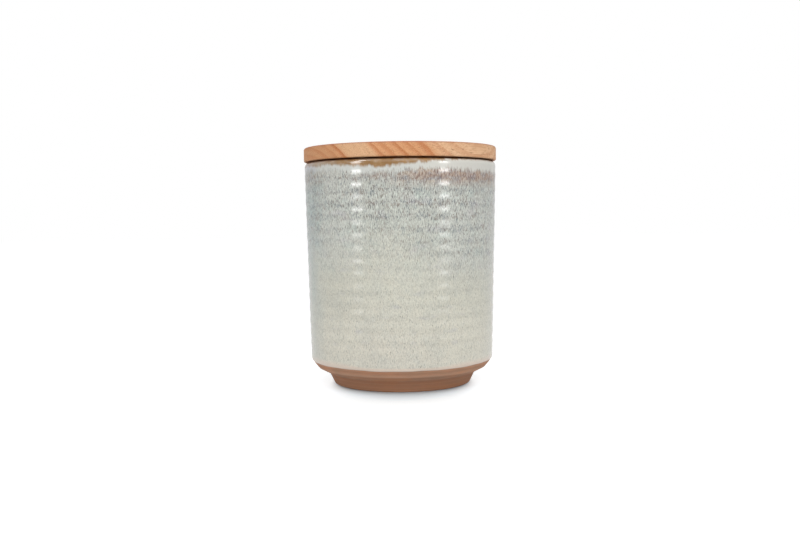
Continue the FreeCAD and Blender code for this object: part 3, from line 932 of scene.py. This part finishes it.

# %% [markdown]
# Where two turned cones meet, the crease is painted paler: a painted highlight along the sharp edge,
# which catches the light. Rings and grit also stand out a little, by less than a tenth of a
# millimetre.

# %% Painted highlight on the crease
CREASE_LINE = CREASE[1] / 1000 + 0.0001
# Painted highlight: a paler line along the crease, where its edge catches the light.
crease_highlight = clay.step(clay.apart(clay.z, CREASE_LINE), 0.00018, 0.0006, 0.45, 0)
clay.tint((206, 166, 138), crease_highlight)
clay.bump(rings, 0.6, 0.00008)
clay.bump(grit, 0.5, 0.00006)
clay.put_on(clay_pot)

# %% [markdown]
# ## The finish inside
#
# The liner is a smooth, shiny off-white with faint clouds and the odd iron speck.

# %% Liner glaze
liner = Finish("liner_glaze", Roughness=0.14)
liner_cloud = liner.noise(14, 14, 14, detail=3)
liner_speck = liner.noise(0.9, 0.9, 0.9, detail=1, offset=4.0)
liner.colour = liner.mix(liner_cloud, (226, 221, 208), (216, 211, 197))
liner.tint((150, 126, 100), liner.step(liner_speck, 0.76, 0.80, 0, 0.6))
liner.bump(liner.noise(3, 3, 3, offset=8.0), 0.4, 0.00006)
liner.put_on(lining_coat)

# %% [markdown]
# ## The wood
#
# Growth rings are nested tubes. On a board cut off to one side of the middle of the tree they
# show as slanting bands across the end grain and as long flat lines along the side grain. So the
# grain is set up as the tree had it: one direction along the fibres, and the distance from the
# tree's middle for the rings. Whatever face the turner cuts then shows the right figure.

# %% Directions in the board
RING_WIDTH = 3.1
ALONG_GRAIN = (-0.643, -0.766, 0)
ACROSS_GRAIN = (0.766, -0.643, 0)
TREE_MIDDLE = (-0.0240, 0.0695, 0)
wood = Finish("lid_wood", Roughness=0.62, Specular_IOR_Level=0.35)
along = wood.vector("DOT_PRODUCT", wood.place, ALONG_GRAIN, output="Value")
across = wood.vector("DOT_PRODUCT", wood.place, ACROSS_GRAIN, output="Value")
board = wood.place_at(across, wood.z, along)
from_middle = wood.vector("SUBTRACT", board, TREE_MIDDLE)
nearly_straight = wood.vector("MULTIPLY", from_middle, (1, 1, 0.03))
wander = wood.swing(wood.noise(12, 12, 60, place=board), 0.004)
tree_radius = wood.plus(wood.vector("LENGTH", nearly_straight, output="Value"), wander)
ring_count = wood.times(tree_radius, 1000 / RING_WIDTH)
ring_share = wood.calc("FRACT", ring_count)
print("one growth ring every", RING_WIDTH, "mm")

# %% [markdown]
# A tree grows well for some years and badly for others. The ground colour follows the distance
# from its middle, so it goes in eras of many rings: reddish, pale, reddish and pale again.

# %% Eras of the tree
LAST_ERA = 0.08
era = wood.times(tree_radius, 1 / LAST_ERA)
wood.colour = wood.ramp(
    era,
    (0.50, (202, 147, 104)),
    (0.575, (208, 150, 104)),
    (0.60, (220, 176, 133)),
    (0.70, (220, 176, 134)),
    (0.72, (214, 155, 108)),
    (0.89, (211, 150, 104)),
    (0.9125, (229, 187, 148)),
)
slow_tone = wood.noise(14, 8, 60, detail=1, offset=3.0, place=board)
wood.tint((210, 160, 114), wood.step(slow_tone, 0.3, 0.7, 0, 0.3))

# %% [markdown]
# Each year starts with pale, open wood and ends with a darker orange line. Years differ, so a
# noise that changes from ring to ring sets how dark each line is, and in the pale era the lines
# nearly go.

# %% Growth rings
LINES_BY_ERA = [(0.50, 0.5), (0.55, 0.9), (0.585, 1), (0.60, 0.12)]
LINES_BY_ERA += [(0.70, 0.12), (0.715, 1), (0.90, 1), (0.915, 0.4)]
late_wood = wood.step(ring_share, 0.25, 0.85)
year_line = wood.times(late_wood, wood.step(ring_share, 0.90, 1.0, 1, 0))
year = wood.noise(1300, 1300, 1300, detail=0, place=wood.place_at(ring_count))
dark_years = wood.graph(era, *LINES_BY_ERA)
wood.tint((184, 106, 56), year_line, wood.step(year, 0.35, 0.65, 0.5, 1.0), dark_years)

# %% [markdown]
# Fine fibres and open pores run along the board, and show as dots on the end grain. The rounded top
# edge is a little darker. The finish is oil, with hardly any shine.

# %% Fibres, pores and the darker top edge
fibre = wood.noise(0.32, 0.32, 9, detail=3, place=board)
strand = wood.noise(0.6, 0.45, 18, offset=21.0, place=board)
pore = wood.noise(0.5, 0.5, 4, detail=1, offset=15.0, place=board)
wood.tint((178, 120, 76), wood.step(strand, 0.45, 0.7, 0, 0.35))
wood.tint((236, 196, 152), wood.step(fibre, 0.25, 0.5, 0.4, 0))
wood.tint((180, 118, 74), wood.step(fibre, 0.5, 0.75, 0, 0.5))
wood.tint((136, 82, 50), wood.step(pore, 0.64, 0.74, 0, 0.6))
at_edge = wood.step(wood.from_axis(), 0.0440, 0.0446)
wood.tint((160, 100, 76), at_edge, wood.step(wood.z, 0.1090, 0.1094, 0, 0.5))
wood.bump(fibre, 0.5, 0.00006)
wood.bump(wood.step(pore, 0.66, 0.74, 1, 0), 0.4, 0.00006)
wood.put_on(lid_board)

# %% [markdown]
# ## The silicone
#
# Food-grade silicone is milky. A small share of scattering below the surface softens it, and
# faint clouds keep it from looking like hard plastic.

# %% Milky silicone
silicone = Finish("milky_silicone", Roughness=0.42, Subsurface_Weight=0.25, Subsurface_Scale=0.0015)
silicone_cloud = silicone.noise(5, 5, 2, detail=3)
silicone.colour = silicone.mix(silicone_cloud, (226, 227, 222), (214, 215, 209))
silicone.bump(silicone.noise(0.5, 0.5, 0.5), 0.3, 0.00002)
silicone.put_on(lid_seal)

# %% [markdown]
# ## The stage
#
# The bowl stands on a plain white floor that runs into a white background. The floor is a real
# surface, so it takes the bowl's soft contact shadow. A glow that lights nothing and only shows
# to the camera and in reflections keeps the rest of it white.

# %% Floor
FLOOR_SIDE = 3.0
FLOOR_LEVEL = -0.00005
quarters = [(-1, -1), (1, -1), (1, 1), (-1, 1)]
corners = [(x * FLOOR_SIDE, y * FLOOR_SIDE, FLOOR_LEVEL) for x, y in quarters]
floor = new_mesh("floor", corners, [(0, 1, 2, 3)])

# %% [markdown]
# Next to the foot the floor gets no glow, so that the shadow stays dark there; it is at its softest
# and widest in front. Under the bowl's overhang the floor is painted a cooler, bluish white: a
# painted tint for the colour of the shadow there.

# %% Shadow beside the foot
PLAIN_WHITE = grey(0.65)
SHADOW_BLUE_WHITE = (0.56, 0.64, 0.69, 1)
table = Finish("white_floor", Roughness=1.0, Specular_IOR_Level=0.0)
out_from_axis = table.vector("LENGTH", table.place, output="Value")
to_back = table.split(table.vector("NORMALIZE", table.place))["Y"]
to_front = table.calc("MULTIPLY", to_back, -1, clamp=True)
shadow_reach = table.scaled(table.calc("POWER", to_front, 3), 0.023, 0.005)
sole_edge = table.scaled(to_front, 0.0037, SOLE_OUTSIDE / 1000 - 0.0022)
past_foot = table.calc("SUBTRACT", out_from_axis, sole_edge)
way_out = table.calc("DIVIDE", past_foot, shadow_reach)
dimmed = table.calc("SUBTRACT", 1, way_out, clamp=True)
rising = table.calc("SUBTRACT", 1, table.times(dimmed, dimmed))
# Painted shade: the floor near the foot is tinted bluish, the colour of the shadow there.
painted_shadow_blue = table.step(out_from_axis, 0.034, 0.06, 1, 0)
table.colour = table.mix(painted_shadow_blue, PLAIN_WHITE, SHADOW_BLUE_WHITE)

# %% [markdown]
# The glow makes up for the light that is missing. Near the bowl, which shades the floor, it is
# strong at the sides and weak in front. Further out it grows slowly with the distance, most of
# all towards the back, where hardly any lamp reaches.

# %% Glow that keeps the floor white
FLOOR_REACH = 1.5
FAR_GLOW = [(0, 0.50), (0.13, 0.56), (0.29, 0.60), (0.47, 0.63), (0.8, 0.68), (1, 0.70)]
near_glow = table.scaled(table.times(to_front, to_front), -0.355, 0.75)
far_share = table.calc("DIVIDE", out_from_axis, FLOOR_REACH, clamp=True)
unlit = table.times(table.step(to_back, 0.3, 0.8, 0.35, 0), table.step(out_from_axis, 0.4, 1.8))
far_glow = table.plus(table.graph(far_share, *FAR_GLOW), unlit)
near_end = table.scaled(to_front, -0.008, 0.05)
far_start = table.scaled(to_front, -0.20, 0.28)
full_glow = table.step(out_from_axis, near_end, far_start, near_glow, far_glow)
seen = table.showing(table.step(to_back, 0.60, 0.84, 0.6, 0.68))
glow = table.times(seen, table.times(rising, full_glow))
table.fill(table.surface, Emission_Color=(1, 1, 1, 1), Emission_Strength=glow)
table.put_on(floor)

# %% [markdown]
# The world is white wherever the camera looks, a soft grey-white as a source of light, and in
# between where a gloss reflects it, a little brighter behind the bowl.

# %% World
DAYLIGHT = 0.45
world = bpy.data.worlds.new("studio")
bpy.context.scene.world = world
world.use_nodes = True
sky = Wiring(world.node_tree)
direction = sky.node("TexCoord").outputs["Generated"]
seen = sky.showing(sky.step(sky.split(direction)["Y"], 0.60, 0.84, 0.5, 0.68))
strength = sky.calc("MAXIMUM", seen, DAYLIGHT)
sky.fill(sky.tree.nodes["Background"], Color=(1, 1, 1, 1), Strength=strength)

# %% [markdown]
# ## The lamps
#
# Two tall strip lights stand left and right in front of the bowl. Each rib reflects them only
# from the slope that faces up: that gives the two columns of small bright dashes, strongest near
# the rim. A real strip fades at its ends, and these fade most at the lower one: a graph over the
# lamp's own height sets its brightness.

# %% Strip lights
LAMP_DISTANCE = 1.2
STRIP_ANGLE = 52
STRIP_HEIGHT = 0.33
FEATHER = [(0.02, 0.14), (0.17, 0.30), (0.31, 0.34), (0.36, 0.90), (0.52, 1), (0.66, 1), (1, 0.5)]


def soft_light(name, place, aim, wide, tall, radiance):
    """A rectangular lamp that faces a point; its power follows from its size and brightness."""
    lamp = bpy.data.lights.new(name, "AREA")
    lamp.shape = "RECTANGLE"
    lamp.size = wide
    lamp.size_y = tall
    lamp.energy = radiance * math.pi * wide * tall
    piece = new_object(name, lamp)
    piece.location = place
    piece.rotation_euler = (Vector(aim) - Vector(place)).to_track_quat("-Z", "Y").to_euler()
    print(name, "gives", round(lamp.energy, 2), "W")
    return piece


def stand(angle, height):
    """A lamp stand's place at an angle from the front in degrees, negative to the left."""
    turn = math.radians(angle)
    return (LAMP_DISTANCE * math.sin(turn), -LAMP_DISTANCE * math.cos(turn), height)


def feathered(lamp, stops):
    """Dims a lamp along its height: pairs of a place from 0 to 1 and a share of its brightness."""
    lamp.use_nodes = True
    wiring = Wiring(lamp.node_tree)
    on_lamp = wiring.node("NewGeometry").outputs["Parametric"]
    share = wiring.graph(wiring.split(on_lamp)["Y"], *stops)
    wiring.fill(wiring.tree.nodes["Emission"], Strength=share)


for name, side, radiance in (("left_strip", -1, 10.8), ("right_strip", 1, 11.6)):
    place = stand(side * STRIP_ANGLE, STRIP_HEIGHT)
    strip = soft_light(name, place, (0, 0, STRIP_HEIGHT), 0.26, 0.6, radiance)
    feathered(strip.data, FEATHER)

# %% [markdown]
# A large soft light, high in front, fills in. A tall panel above the left strip draws the long
# streak on the rim. It is kept out of the diffuse light, so it adds highlights and nothing else.

# %% Fill light and highlight panel
panel = soft_light("left_strip_top", stand(-57, 1.02), (0, 0, 0.1), 0.24, 0.9, 15)
panel.visible_diffuse = False
soft_light("front_softbox", (0.1, -1.22, 1.38), (0, 0, 0.06), 2.4, 1.6, 1.37)

# %% [markdown]
# ## The camera
#
# A normal lens, about half a metre away at two thirds of the bowl's height and tipped down a
# little: the view from a chair at the table, rolled by less than a degree.

# %% Camera
CAMERA_PLACE = (-0.00053, -0.450, 0.0783)
TIPPED_DOWN = 3.07
ROLLED = -0.66
lens = bpy.data.cameras.new("camera")
lens.lens = 42.8
lens.sensor_width = 36
camera = new_object("camera", lens)
tip = Matrix.Rotation(math.radians(90 - TIPPED_DOWN), 4, "X")
roll = Matrix.Rotation(math.radians(ROLLED), 4, "Z")
camera.matrix_world = Matrix.Translation(CAMERA_PLACE) @ tip @ roll
bpy.context.scene.camera = camera
bpy.context.scene.view_settings.view_transform = "Standard"
